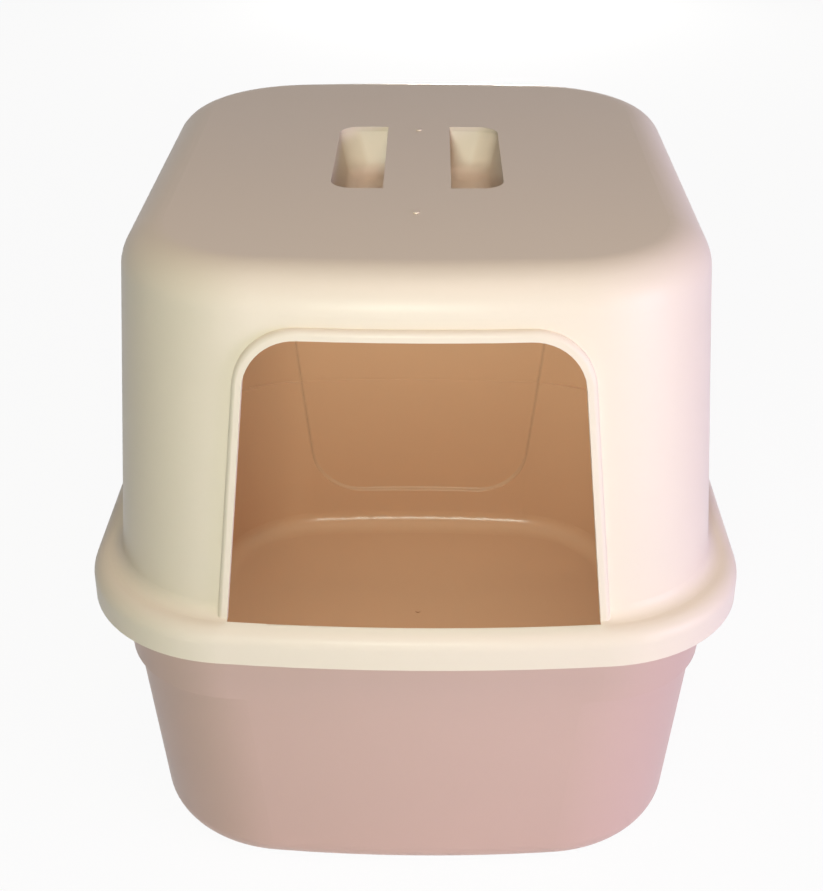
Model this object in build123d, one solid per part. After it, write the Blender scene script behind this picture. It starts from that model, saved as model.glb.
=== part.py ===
from build123d import *
import os
from math import atan, cos, radians, sin, tan

# Covered litter box, in millimetres. The origin is on the surface it stands on, under the middle
# of the box, with +Z up and the entrance towards -Y.

# Pan
pan_width = 370.0           # outside of the wall, level with the rim
pan_length = 450.0
pan_height = 194.0          # floor it stands on to the top of the rim
pan_wall = 3.0
pan_corner = 80.0           # plan radius of the upper band
pan_side_draft = 4.8        # degrees
pan_end_draft = 4.1
bottom_radius = 18.0        # round between wall and underside
ledge_height = 138.0        # underside of the upper band
ledge_step = 0.5            # step of the ledge in the middle of each wall
ledge_corner_extra = 8.0    # how much rounder the corners are below the ledge
rim_reach = 11.0            # how far the rolled rim stands out from the wall
rim_drop = 12.0             # height of its turned-down edge
rim_skin = 2.4
rim_radius = 4.2

# Panel pressed into the pan's rear wall, inside
panel_top_width = 210.0
panel_bottom_width = 177.0
panel_bottom_height = 38.5
panel_headroom = 14.0       # distance from the panel's top to the rim's top
panel_radius = 38.0
panel_depth = 1.0

# Hood
hood_wall = 2.8
rim_side_clearance = 1.2    # hood skirt to pan rim, all round
rim_top_clearance = 0.3     # hood's seat rib to pan rim, vertically
seat_rib_height = 3.0       # rib under the flange that rests on the pan's rim
seat_rib_width = 4.0
flange_depth = 22.0         # top of the flange to the skirt's lower edge
shoulder_radius = 9.0
hood_inset = 17.4           # flange edge to the foot of the wall
hood_height = 205.0         # flange to roof
hood_side_draft = 3.4
hood_end_draft = 5.9
hood_foot_corner = 84.0
hood_roof_corner = 92.0
roof_radius = 26.0
foot_radius = 8.0           # hollow round between flange and wall
bow_angle = 5.6             # degrees each way that the two ends of every outline are bowed

# Entrance
entrance_sill_width = 216.0
entrance_top_width = 182.0
entrance_height = 170.0     # flange to the entrance's top edge
entrance_radius = 31.0
sill_width = 14.4           # flange edge to the inner edge of the sill
sill_round = 5.0
bead_width = 5.8
bead_height = 4.5
bead_outer_round = 3.2

# Handle in the roof
handle_width = 106.4        # over both finger openings
handle_length = 128.6
handle_centre_y = 5.0
handle_radius = 14.0
bar_width = 41.6
bar_lip_depth = 5.0         # turned-down edges that stiffen the bar
bar_lip_skin = 2.4
lip_end_clearance = 0.5

# Cup under the handle
cup_depth = 33.0
cup_skin = 2.0
cup_margin = 0.6            # cup mouth to the edge of the finger openings
cup_draft = 14.0
cup_round = 12.0
cup_flange_reach = 10.0
stake_radius = 2.0
stake_clearance = 0.2
stake_head_radius = 3.4
stake_head_height = 1.2

# Sprue marks
nub_radius = 1.9
nub_height = 0.8
roof_nubs_y = (-103.0, 62.0)
floor_nubs_y = (-73.0, 73.0)

# Levels and half sizes that follow from the sizes above
seat_under = pan_height + rim_top_clearance
flange_under = seat_under + seat_rib_height
flange_top = flange_under + hood_wall
skirt_bottom = flange_top - flange_depth
roof_top = flange_top + hood_height
roof_under = roof_top - hood_wall
skirt_margin = rim_reach + rim_side_clearance + hood_wall
flange_half = (pan_width / 2 + skirt_margin, pan_length / 2 + skirt_margin, pan_corner + skirt_margin)
cut_margin = 5.0            # overshoot of every cutting solid


def outline(half_width, half_length, corner, z):
    """Plan outline at height z: straight sides, two bowed ends and four tangent corner arcs."""
    bow = radians(bow_angle)
    half_bow = (bow + radians(90)) / 2
    core = half_width - corner
    end_radius = core / sin(bow) + corner
    corner_y = half_length - end_radius + (end_radius - corner) * cos(bow)
    joint = (core + corner * sin(bow), corner_y + corner * cos(bow))
    crown = (core + corner * sin(half_bow), corner_y + corner * cos(half_bow))

    def arc(*points):
        return Edge.make_three_point_arc(*[Vector(x, y, z) for x, y in points])

    def side(x, y_from, y_to):
        return Edge.make_line(Vector(x, y_from, z), Vector(x, y_to, z))

    return Wire(
        [
            arc((-joint[0], joint[1]), (0, half_length), joint),
            arc(joint, crown, (half_width, corner_y)),
            side(half_width, corner_y, -corner_y),
            arc((half_width, -corner_y), (crown[0], -crown[1]), (joint[0], -joint[1])),
            arc((joint[0], -joint[1]), (0, -half_length), (-joint[0], -joint[1])),
            arc((-joint[0], -joint[1]), (-crown[0], -crown[1]), (-half_width, -corner_y)),
            side(-half_width, -corner_y, corner_y),
            arc((-half_width, corner_y), (-crown[0], crown[1]), (-joint[0], joint[1])),
        ]
    )


def prism(half_sizes, grow, z_low, z_high):
    """Upright solid on an outline that stands grow outside half_sizes."""
    half_width, half_length, corner = half_sizes
    low = outline(half_width + grow, half_length + grow, corner + grow, z_low)
    return extrude(Face(low), z_high - z_low, dir=(0, 0, 1))


def hood_body(grow, z_low, z_high):
    """The hood's drafted body, grow outside its outer face, with the roof round where it ends at the roof."""
    rise = hood_height

    def level(z):
        t = (z - flange_top) / rise
        half_width = flange_half[0] - hood_inset - (z - flange_top) * tan(radians(hood_side_draft))
        half_length = flange_half[1] - hood_inset - (z - flange_top) * tan(radians(hood_end_draft))
        corner = hood_foot_corner + (hood_roof_corner - hood_foot_corner) * t
        return outline(half_width + grow, half_length + grow, corner + grow, z)

    body = Solid.make_loft([level(z_low), level(z_high)], ruled=True)
    roof_edges = body.edges().group_by(Axis.Z)[-1]
    return fillet(roof_edges, roof_radius + grow)


def pan_body(shrink, z_low, z_ledge, z_high):
    """The pan's drafted body inside its outer face by shrink: a lower part and a band above the ledge."""

    def level(z, step, corner):
        drop = pan_height - z
        half_width = pan_width / 2 - drop * tan(radians(pan_side_draft)) - shrink - step
        half_length = pan_length / 2 - drop * tan(radians(pan_end_draft)) - shrink - step
        return outline(half_width, half_length, corner - shrink - step, z)

    def band_level(z):
        return level(z, 0, pan_corner - (pan_height - z) * tan(radians(pan_side_draft)))

    low_corner = pan_corner + ledge_corner_extra
    lower = Solid.make_loft(
        [level(z_low, ledge_step, low_corner), level(z_ledge, ledge_step, low_corner)], ruled=True
    )
    lower = fillet(lower.edges().group_by(Axis.Z)[0], bottom_radius - shrink)
    band = Solid.make_loft([band_level(z_ledge), band_level(z_high)], ruled=True)
    return lower + band


def doorway(grow, z_low):
    """Entrance outline on the XZ plane, grown outwards by grow, with its lower end square at z_low."""
    lean = atan((entrance_sill_width - entrance_top_width) / 2 / entrance_height)
    z_high = flange_top + entrance_height + grow
    half_high = entrance_top_width / 2 + grow / cos(lean) - grow * tan(lean)
    half_low = half_high + (z_high - z_low) * tan(lean)
    corners = [(-half_low, z_low), (-half_high, z_high), (half_high, z_high), (half_low, z_low)]
    face = make_face(Polyline(*[(x, z) for x, z in corners], close=True).edges())
    return fillet(face.vertices().group_by(Axis.Y)[-1], entrance_radius + grow)


def front_inside_y():
    """A depth that lies inside the front wall at every height."""
    return -flange_half[1] + hood_inset + hood_height * tan(radians(hood_end_draft)) + 6 * hood_wall


def through_front(face):
    """Run a face drawn in X and Z from well ahead of the box to inside its front wall."""
    ahead = -flange_half[1] - cut_margin
    sheet = Plane((0, ahead, 0), x_dir=(1, 0, 0), z_dir=(0, -1, 0)) * face
    return extrude(sheet, ahead - front_inside_y())


def stake_places():
    """Middles of the four stakes that hold the cup's flange."""
    reach = cup_margin + cup_skin + (cup_flange_reach - cup_skin) / 2
    x = handle_width / 2 + reach
    y = handle_length / 4
    return [(sx * x, handle_centre_y + sy * y) for sx in (-1, 1) for sy in (-1, 1)]


def finger_openings():
    """The two finger openings in the roof, one each side of the bar."""
    hole = RectangleRounded(handle_width, handle_length, handle_radius)
    hole -= Rectangle(bar_width, handle_length + 2 * cut_margin)
    return Pos(0, handle_centre_y, roof_under - cut_margin) * extrude(hole, hood_wall + 2 * cut_margin)


def make_pan():
    outer = pan_body(0, 0, ledge_height, pan_height)
    rim = prism((pan_width / 2, pan_length / 2, pan_corner), rim_reach, pan_height - rim_drop, pan_height)
    rim = fillet(rim.edges().group_by(Axis.Z)[-1], rim_radius)
    under_rim = prism(
        (pan_width / 2, pan_length / 2, pan_corner),
        rim_reach - rim_skin,
        pan_height - rim_drop - cut_margin,
        pan_height - rim_skin,
    )
    cavity = pan_body(pan_wall, pan_wall, ledge_height + pan_wall, pan_height + cut_margin)
    pan = outer + (rim - under_rim) - cavity
    pan -= rear_panel()
    for y in floor_nubs_y:
        pan += Pos(0, y, pan_wall - nub_height) * extrude(Circle(nub_radius), 2 * nub_height)
    return pan


def rear_panel():
    """Shallow recess in the inside of the rear wall, wider at the top."""
    z_high = pan_height - panel_headroom
    corners = [
        (-panel_bottom_width / 2, panel_bottom_height),
        (-panel_top_width / 2, z_high),
        (panel_top_width / 2, z_high),
        (panel_bottom_width / 2, panel_bottom_height),
    ]
    face = make_face(Polyline(*corners, close=True).edges())
    face = fillet(face.vertices().group_by(Axis.Y)[0], panel_radius)
    block = extrude(Plane((0, 0, 0), x_dir=(1, 0, 0), z_dir=(0, -1, 0)) * face, -pan_length)
    deep = pan_body(pan_wall - panel_depth, pan_wall, ledge_height + pan_wall, pan_height + cut_margin)
    return block & deep


def bead_ring():
    """Raised bead round the entrance, before the entrance is cut through it."""
    z_low = skirt_bottom + flange_depth / 2
    face = doorway(bead_width, z_low)
    bead = through_front(face) & hood_body(bead_height, flange_top - shoulder_radius, roof_top + bead_height)
    return fillet(front_edges(bead, face), bead_outer_round)


def front_edges(solid, face):
    """Edges of solid on its front face that follow the sides and top of face."""
    boundary = face.face().outer_wire()
    back = front_inside_y() - 1

    def chosen(edge):
        middle = edge.position_at(0.5)
        ends_ahead = max(v.Y for v in edge.vertices()) < back
        near = boundary.distance_to(Vertex(middle.X, middle.Z, 0)) < 0.05
        return near and ends_ahead and middle.Z > flange_top - shoulder_radius / 2

    return solid.edges().filter_by(chosen)


def roof_stake(x, y):
    """Stake that passes through the cup's flange, with its upset head."""
    flange_low = roof_under - cup_skin
    shank = Pos(x, y, flange_low) * extrude(Circle(stake_radius), cup_skin + hood_wall / 2)
    head = Pos(x, y, flange_low - stake_head_height) * extrude(Circle(stake_head_radius), stake_head_height)
    return shank + head


def bar_lips():
    """Turned-down edges of the handle bar, short enough to clear the cup's sloping ends."""
    lean_in = bar_lip_depth * tan(radians(cup_draft))
    strip = Rectangle(bar_lip_skin, handle_length - 2 * (lean_in + lip_end_clearance))
    x = (bar_width - bar_lip_skin) / 2
    low = roof_under - bar_lip_depth
    lip = extrude(strip, bar_lip_depth + hood_wall / 2)
    return [Pos(side * x, handle_centre_y, low) * lip for side in (-1, 1)]


def make_hood():
    flange = prism(flange_half, 0, skirt_bottom, flange_top)
    flange = fillet(flange.edges().group_by(Axis.Z)[-1], shoulder_radius)
    outer = flange + hood_body(0, flange_top - shoulder_radius, roof_top)
    outer = fillet(outer.edges().filter_by(is_foot), foot_radius)
    outer += bead_ring()
    cavity = hood_body(-hood_wall, skirt_bottom, roof_under)
    skirt_cavity = prism(flange_half, -hood_wall, skirt_bottom - cut_margin, flange_under)
    skirt_cavity = fillet(skirt_cavity.edges().group_by(Axis.Z)[-1], shoulder_radius - hood_wall)
    seat_outside = -(sill_width - seat_rib_width)
    seat = prism(flange_half, seat_outside, seat_under, flange_under + hood_wall / 2)
    seat -= prism(flange_half, -sill_width, seat_under - cut_margin, flange_top)
    hood = outer - cavity - skirt_cavity + seat
    hood -= through_front(doorway(0, flange_top))
    hood -= sill_cutter()
    hood -= finger_openings()
    for x, y in stake_places():
        hood += roof_stake(x, y)
    for lip in bar_lips():
        hood += lip
    for y in roof_nubs_y:
        hood += Pos(0, y, roof_top - nub_height) * extrude(Circle(nub_radius), 2 * nub_height)
    return hood


def is_foot(edge):
    """True for the edges where the wall's foot meets the flange."""
    middle = edge.position_at(0.5)
    across = flange_half[0] - hood_inset
    along = flange_half[1] - hood_inset
    level = abs(middle.Z - flange_top) < 0.01
    return level and abs(middle.X) < across + 0.5 and abs(middle.Y) < along + 0.5


def sill_cutter():
    """What is cut away behind the sill's crest so that it rounds over towards the inside."""
    ring = prism(flange_half, cut_margin, seat_under - cut_margin, flange_top)
    ring -= prism(flange_half, -sill_width, seat_under - 2 * cut_margin, flange_top + cut_margin)

    def inner(edge):
        middle = edge.position_at(0.5)
        level = abs(middle.Z - flange_top) < 0.01
        across = flange_half[0] - sill_width / 2
        along = flange_half[1] - sill_width / 2
        return level and abs(middle.X) < across and abs(middle.Y) < along

    ring = fillet(ring.edges().filter_by(inner), sill_round)
    return through_front(doorway(0, seat_under)) - ring


def cup_block(grow, z_low):
    """Drafted, round-bottomed block; grow is measured from the inside of the cup."""
    run = (roof_under - z_low) * tan(radians(cup_draft))
    mouth = cup_margin + grow

    def level(inward, z):
        wide = handle_width + 2 * (mouth - inward)
        deep = handle_length + 2 * (mouth - inward)
        return Pos(0, handle_centre_y, z) * RectangleRounded(wide, deep, handle_radius + mouth)

    block = loft([level(run, z_low).face(), level(0, roof_under).face()], ruled=True)
    return fillet(block.edges().group_by(Axis.Z)[0], cup_round + grow)


def make_cup():
    reach = 2 * (cup_margin + cup_flange_reach)
    flange = RectangleRounded(handle_width + reach, handle_length + reach, handle_radius + cup_flange_reach)
    cup = Pos(0, handle_centre_y, roof_under - cup_skin) * extrude(flange, cup_skin)
    inside_low = roof_top - cup_depth
    cup = cup + cup_block(cup_skin, inside_low - cup_skin) - cup_block(0, inside_low)
    for x, y in stake_places():
        hole = extrude(Circle(stake_radius + stake_clearance), 3 * cup_skin)
        cup -= Pos(x, y, roof_under - 2 * cup_skin) * hole
    return cup


def main():
    os.makedirs("parts", exist_ok=True)
    export_step(make_pan(), "parts/pan.step")
    export_step(make_hood(), "parts/hood.step")
    export_step(make_cup(), "parts/handle_cup.step")


main()
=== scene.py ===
from math import radians

import bpy
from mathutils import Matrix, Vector

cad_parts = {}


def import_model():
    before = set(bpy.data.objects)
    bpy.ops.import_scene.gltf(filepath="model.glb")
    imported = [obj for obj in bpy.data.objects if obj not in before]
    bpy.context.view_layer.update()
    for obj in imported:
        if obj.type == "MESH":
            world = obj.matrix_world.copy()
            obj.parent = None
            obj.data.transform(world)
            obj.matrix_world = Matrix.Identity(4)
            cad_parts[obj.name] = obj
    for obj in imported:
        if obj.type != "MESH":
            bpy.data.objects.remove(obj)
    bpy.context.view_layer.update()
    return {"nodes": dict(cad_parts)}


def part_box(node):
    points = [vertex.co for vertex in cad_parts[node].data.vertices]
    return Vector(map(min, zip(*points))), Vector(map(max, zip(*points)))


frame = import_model()
PAN_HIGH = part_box("pan")[1]

# Camera, from the perspective of the photograph
CAMERA_PLACE = (0.0084, -0.9399, 0.7032)
CAMERA_TILT = 28.38         # degrees below the horizon
CAMERA_TURN = 0.765         # degrees to the left
FOCAL_PIXELS = 1508.5
FRAME_HEIGHT = 891          # pixels
SENSOR = 36.0               # millimetres
NEAREST = 0.01

# Colours, linear
CREAM = (0.87, 0.79, 0.66)
PINK = (0.66, 0.47, 0.41)
# Painted shade: the tray's inside is pink plastic, painted as the warm tan it shows in the dim
# light under the hood
TRAY_INSIDE_PAINTED_SHADE = (0.60, 0.33, 0.19)
WHITE = (1, 1, 1, 1)

# Plastics
PLASTIC_IOR = 1.49
CREAM_ROUGHNESS = 0.36
CREAM_REFLECTION = 0.22
PINK_ROUGHNESS = 0.38
PINK_REFLECTION = 0.3
INSIDE_SMOOTHER = 0.14      # how much less rough the tray is inside than outside

# Moulded skin; each scale is in features per metre, each depth in metres
MOTTLE_SCALE, MOTTLE_DETAIL = 9.0, 3.0
GRAIN_SCALE, GRAIN_DETAIL = 900.0, 2.0
WAVE_SCALE, WAVE_DETAIL = 14.0, 1.0
MOTTLE_CONTRAST = 0.015
MOTTLE_ROUGHNESS = 0.06
GRAIN_ROUGHNESS = 0.05
GRAIN_DEPTH, GRAIN_STRENGTH = 0.00002, 0.5
WAVE_DEPTH, WAVE_STRENGTH = 0.0004, 0.35

# The tray's inside: what faces this point and lies below the rim. Each slope is how fast the mask
# changes from 0 to 1
ABOVE_TRAY = (0, 0, 0.3)
FACING_SLOPE = 40.0
RIM_MARGIN = 0.003
RIM_SLOPE = 500.0

# Soft shoulder of the panel pressed into the rear wall
PANEL_LOW = 0.0385
PANEL_HALF_LOW = 0.0885
PANEL_SPREAD = 0.1166       # widening of each side with height
PANEL_CORNER = 0.038
SHOULDER_HALF = 0.0018
SHOULDER_DEPTH = 0.0022
REAR_SLOPE = 100.0

# Lamps: place, aim, watts, width and colour
BOX_MIDDLE = (0, 0, 0.2)
KEY = ((-0.05, -1.05, 0.62), BOX_MIDDLE, 4.34, 0.10, (0.881, 1.0, 0.873))
RIGHT_FILL = ((1.6, -0.9, 0.5), BOX_MIDDLE, 18.3, 0.9, (0.814, 0.69, 1.0))
TOP_FRONT = ((0.1, -0.9, 1.8), BOX_MIDDLE, 10.0, 0.8, (1.0, 0.74, 0.62))
BEHIND = ((0.1, 2.6, 0.19), BOX_MIDDLE, 20.0, 0.34, (1.0, 0.93, 0.86))
THROUGH_HOOD = ((0, 0.02, 0.362), (0, 0.02, 0), 0.66, 0.24, (0.73, 0.95, 1.0))
AMBIENT = 0.005

# Ground
GROUND_REACH = 6.0
GROUND_COLOUR = (0.9, 0.9, 0.9)
GROUND_ROUGHNESS = 0.9
GROUND_GLOW = 0.94          # share of what is seen that is plain white; the rest takes shadow


class Socket:
    """A shader value: arithmetic on it adds the Math nodes that work it out."""

    def __init__(self, tree, link):
        self.tree = tree
        self.link = link

    def _math(self, operation, *terms):
        node = self.tree.nodes.new("ShaderNodeMath")
        node.operation = operation
        for slot, term in zip(node.inputs, terms):
            fill(self.tree, slot, term)
        return Socket(self.tree, node.outputs[0])

    def __add__(self, other):
        return self._math("ADD", self, other)

    __radd__ = __add__

    def __sub__(self, other):
        return self._math("SUBTRACT", self, other)

    def __rsub__(self, other):
        return self._math("SUBTRACT", other, self)

    def __mul__(self, other):
        return self._math("MULTIPLY", self, other)

    __rmul__ = __mul__

    def __abs__(self):
        return self._math("ABSOLUTE", self)

    def at_least(self, other):
        return self._math("MAXIMUM", self, other)

    def clamp(self):
        return self._math("MINIMUM", self.at_least(0.0), 1.0)

    def hypot(self, other):
        return self._math("SQRT", self * self + other * other)


def fill(tree, slot, value):
    """Link a socket's value to the slot, or set the slot to a plain value."""
    if isinstance(value, Socket):
        tree.links.new(value.link, slot)
    else:
        slot.default_value = value


class Shader:
    """A node tree, with one method that adds any node and others for the nodes used often."""

    def __init__(self, tree):
        self.tree = tree

    def node(self, kind, settings=None, output=0, **inputs):
        """Add a node, set its settings, give its sockets values or links, and return one output.

        A socket is named as in Blender with _ for a space, or by i and its number."""
        node = self.tree.nodes.new(kind)
        for key, value in (settings or {}).items():
            setattr(node, key, value)
        for key, value in inputs.items():
            if key[0] == "i" and key[1:].isdigit():
                slot = node.inputs[int(key[1:])]
            else:
                name = key.replace("_", " ")
                slot = next(s for s in node.inputs if s.enabled and s.name == name)
            fill(self.tree, slot, value)
        return Socket(self.tree, node.outputs[output])

    def place(self):
        return self.node("ShaderNodeTexCoord", output="Object")

    def part(self, vector, axis):
        """The X, Y or Z part of a vector."""
        return self.node("ShaderNodeSeparateXYZ", Vector=vector, output=axis)

    def noise(self, scale, detail):
        return self.node("ShaderNodeTexNoise", Vector=self.place(), Scale=scale, Detail=detail)

    def mix(self, factor, a, b):
        settings = {"data_type": "RGBA"}
        return self.node("ShaderNodeMix", settings, output=2, i0=factor, i6=a, i7=b)

    def bump(self, height, distance, invert=False, **inputs):
        settings = {"invert": invert}
        return self.node("ShaderNodeBump", settings, Height=height, Distance=distance, **inputs)

    def seen(self):
        """1 for a ray from the camera, a reflection or a refraction, 0 for light on a surface."""
        camera, glossy, transmission = (
            self.node("ShaderNodeLightPath", output=f"Is {kind} Ray")
            for kind in ("Camera", "Glossy", "Transmission")
        )
        return camera.at_least(glossy).at_least(transmission)


class Plastic(Shader):
    """One material, built on its Principled shader."""

    def __init__(self, name):
        self.material = bpy.data.materials.new(name)
        self.material.use_nodes = True
        super().__init__(self.material.node_tree)
        self.shader = self.tree.nodes["Principled BSDF"]

    def set(self, **sockets):
        for key, value in sockets.items():
            fill(self.tree, self.shader.inputs[key.replace("_", " ")], value)


def shade(colour, factor=1.0):
    """The colour made lighter or darker, with full alpha."""
    return tuple(c * factor for c in colour) + (1.0,)


def moulded_skin(plastic, base, roughness):
    """Colour, roughness and normal of a moulded face: mottling, fine tool grain, slow waviness."""
    mottle = plastic.noise(MOTTLE_SCALE, MOTTLE_DETAIL)
    fine = plastic.noise(GRAIN_SCALE, GRAIN_DETAIL)
    wave = plastic.noise(WAVE_SCALE, WAVE_DETAIL)
    darker = shade(base, 1 - MOTTLE_CONTRAST)
    lighter = shade(base, 1 + MOTTLE_CONTRAST)
    toned = plastic.mix(mottle, darker, lighter)
    rough = roughness + GRAIN_ROUGHNESS * (fine - 0.5) + MOTTLE_ROUGHNESS * (mottle - 0.5)
    grain = plastic.bump(fine, GRAIN_DEPTH, Strength=GRAIN_STRENGTH)
    swell = plastic.bump(wave, WAVE_DEPTH, Strength=WAVE_STRENGTH, Normal=grain)
    return toned, rough, swell


def cream_plastic():
    plastic = Plastic("hood_cream_plastic")
    toned, rough, skin = moulded_skin(plastic, CREAM, CREAM_ROUGHNESS)
    plastic.set(Base_Color=toned, Roughness=rough, Normal=skin)
    plastic.set(IOR=PLASTIC_IOR, Specular_IOR_Level=CREAM_REFLECTION)
    return plastic.material


def panel_sink(plastic, place):
    """Depth of the rear panel: 1 inside it, 0 outside, with a soft slope at its edge.

    The edge is a distance: how far a point lies past the panel's leaning side or below its lower
    edge, and past the round corner where both are near."""
    across, depth, height = (plastic.part(place, axis) for axis in range(3))
    above = height - PANEL_LOW
    half_inside = above * PANEL_SPREAD + (PANEL_HALF_LOW - PANEL_CORNER)
    past_side = (abs(across) - half_inside).at_least(0.0)
    past_low = (PANEL_CORNER - above).at_least(0.0)
    edge = past_side.hypot(past_low) - PANEL_CORNER
    outside = plastic.node(
        "ShaderNodeMapRange", {"interpolation_type": "SMOOTHSTEP"},
        Value=edge, From_Min=-SHOULDER_HALF, From_Max=SHOULDER_HALF,
    )
    rear = ((depth - PAN_HIGH.y / 2) * REAR_SLOPE).clamp()
    return (1.0 - outside) * rear


def tray_inside(plastic, place):
    """1 on the inside of the tray, which takes the tan painted shade, 0 on its outside and on its
    rim.
    """
    normal = plastic.node("ShaderNodeTexCoord", output="Normal")
    away = plastic.node("ShaderNodeVectorMath", {"operation": "SUBTRACT"}, i0=place, i1=ABOVE_TRAY)
    turned_away = plastic.node(
        "ShaderNodeVectorMath", {"operation": "DOT_PRODUCT"}, "Value", i0=away, i1=normal
    )
    below_rim = ((PAN_HIGH.z - RIM_MARGIN - plastic.part(place, 2)) * RIM_SLOPE).clamp()
    return (0.5 - turned_away * FACING_SLOPE).clamp() * below_rim


def pink_plastic():
    """Dusty pink outside, and inside a painted shade: the warm tan that the pink shows in the dim
    light under the hood.
    """
    plastic = Plastic("pan_pink_plastic")
    place = plastic.place()
    inside = tray_inside(plastic, place)
    toned, rough, skin = moulded_skin(plastic, PINK, PINK_ROUGHNESS)
    # Painted shade: the tray's inside takes the tan of the dim light under the hood instead of its
    # pink
    colour = plastic.mix(inside, toned, shade(TRAY_INSIDE_PAINTED_SHADE))
    sink = panel_sink(plastic, place) * inside
    pressed = plastic.bump(sink, SHOULDER_DEPTH, invert=True, Normal=skin)
    plastic.set(Base_Color=colour, Roughness=rough - INSIDE_SMOOTHER * inside, Normal=pressed)
    plastic.set(IOR=PLASTIC_IOR, Specular_IOR_Level=PINK_REFLECTION)
    return plastic.material


def finish_node(name, material):
    """Give a CAD piece its plastic."""
    piece = frame["nodes"][name]
    piece.data.materials.clear()
    piece.data.materials.append(material)


def ground():
    """Flat pale ground: seen nearly white, with the box's soft shadow on it."""
    mesh = bpy.data.meshes.new("floor")
    reach = GROUND_REACH
    corners = [(-reach, -reach, 0), (reach, -reach, 0), (reach, reach, 0), (-reach, reach, 0)]
    mesh.from_pydata(corners, [], [(0, 1, 2, 3)])
    piece = bpy.data.objects.new("floor", mesh)
    bpy.context.scene.collection.objects.link(piece)
    plastic = Plastic("floor_white")
    plastic.set(Base_Color=shade(GROUND_COLOUR), Roughness=GROUND_ROUGHNESS)
    lit = Socket(plastic.tree, plastic.shader.outputs[0])
    glow = plastic.node("ShaderNodeEmission", Color=WHITE)
    share = plastic.seen() * GROUND_GLOW
    both = plastic.node("ShaderNodeMixShader", i0=share, i1=lit, i2=glow)
    fill(plastic.tree, plastic.tree.nodes["Material Output"].inputs["Surface"], both)
    mesh.materials.append(plastic.material)


def lamp(name, place, aim, power, size, colour):
    """Soft square lamp at place, turned to aim."""
    data = bpy.data.lights.new(name, "AREA")
    data.energy = power
    data.size = size
    data.color = colour
    light = bpy.data.objects.new(name, data)
    light.location = place
    light.rotation_euler = (Vector(aim) - Vector(place)).to_track_quat("-Z", "Y").to_euler()
    bpy.context.scene.collection.objects.link(light)
    return light


def lamps():
    lamp("key", *KEY)
    lamp("right_fill", *RIGHT_FILL)
    lamp("top_front", *TOP_FRONT)
    lamp("behind", *BEHIND).visible_camera = False
    through = lamp("through_the_hood", *THROUGH_HOOD)
    through.visible_camera = False
    through.visible_glossy = False


def world():
    """White where it is seen, and a faint even light elsewhere."""
    studio = bpy.data.worlds.new("studio")
    bpy.context.scene.world = studio
    studio.use_nodes = True
    shader = Shader(studio.node_tree)
    faint = shader.node("ShaderNodeBackground", Color=WHITE, Strength=AMBIENT)
    white = shader.node("ShaderNodeBackground", Color=WHITE, Strength=1.0)
    both = shader.node("ShaderNodeMixShader", i0=shader.seen(), i1=faint, i2=white)
    fill(shader.tree, shader.tree.nodes["World Output"].inputs["Surface"], both)


def camera():
    data = bpy.data.cameras.new("camera")
    data.sensor_width = SENSOR
    data.lens = FOCAL_PIXELS / FRAME_HEIGHT * SENSOR
    data.clip_start = NEAREST
    eye = bpy.data.objects.new("camera", data)
    eye.location = CAMERA_PLACE
    eye.rotation_euler = (radians(90 - CAMERA_TILT), 0, radians(CAMERA_TURN))
    bpy.context.scene.collection.objects.link(eye)
    bpy.context.scene.camera = eye


def main():
    camera()
    world()
    lamps()
    ground()
    cream = cream_plastic()
    finish_node("hood", cream)
    finish_node("handle_cup", cream)
    finish_node("pan", pink_plastic())
    bpy.context.scene.view_settings.view_transform = "Standard"


main()
